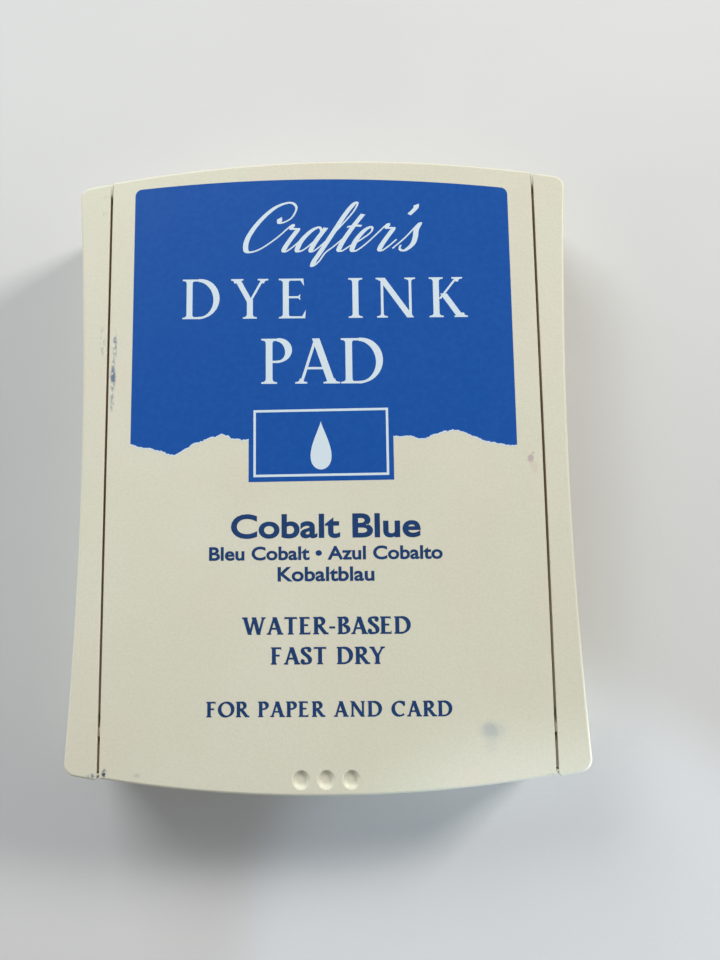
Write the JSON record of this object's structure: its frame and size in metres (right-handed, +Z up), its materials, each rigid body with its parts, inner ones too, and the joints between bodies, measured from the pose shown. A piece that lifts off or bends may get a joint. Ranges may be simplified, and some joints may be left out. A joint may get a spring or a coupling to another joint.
{
  "type": "ink pad",
  "caption": "Flat plastic ink pad case with side rails; its tray slides back on pivot pins and turns over to bring the inked pad face up.",
  "frame": {"origin": "centre of the flat underside of the case", "axes": "+X to the right across the case, +Y from the thumb dimples towards the back, +Z up through the label"},
  "size_m": [0.0948, 0.1196, 0.019],
  "materials": {
    "case_plastic": "cream moulded plastic, satin with a very fine grain",
    "rail_plastic": "cream moulded plastic, satin with a very fine grain",
    "label_plastic": "cream moulded plastic, satin, printed in blue",
    "tray_plastic": "cream moulded plastic, satin",
    "pin_plastic": "cream moulded plastic, slightly polished by rubbing",
    "backing_board": "grey-brown stiff board",
    "inked_foam": "open-celled foam soaked with blue ink",
    "inked_cloth": "fine woven cloth soaked with blue ink, damp sheen"
  },
  "bodies": {
    "case": {"lower_case": "case_plastic", "left_rail": "rail_plastic", "right_rail": "rail_plastic"},
    "pivot_pins": {"left_pivot_pin": "pin_plastic", "right_pivot_pin": "pin_plastic"},
    "pad_assembly": {"pad_tray": "tray_plastic", "label_plate": "label_plastic", "pad_backing": "backing_board", "ink_foam": "inked_foam", "pad_cloth": "inked_cloth"}
  },
  "joints": [
    {"name": "tray_slide", "type": "slide", "parent": "case", "child": "pivot_pins", "axis": [0, 1, 0], "range_m": [0, 0.1056]},
    {"name": "tray_flip", "type": "hinge", "parent": "pivot_pins", "child": "pad_assembly", "pos_m": [0, -0.0528, 0.0132], "axis": [1, 0, 0], "range_deg": [0, 180]}
  ]
}
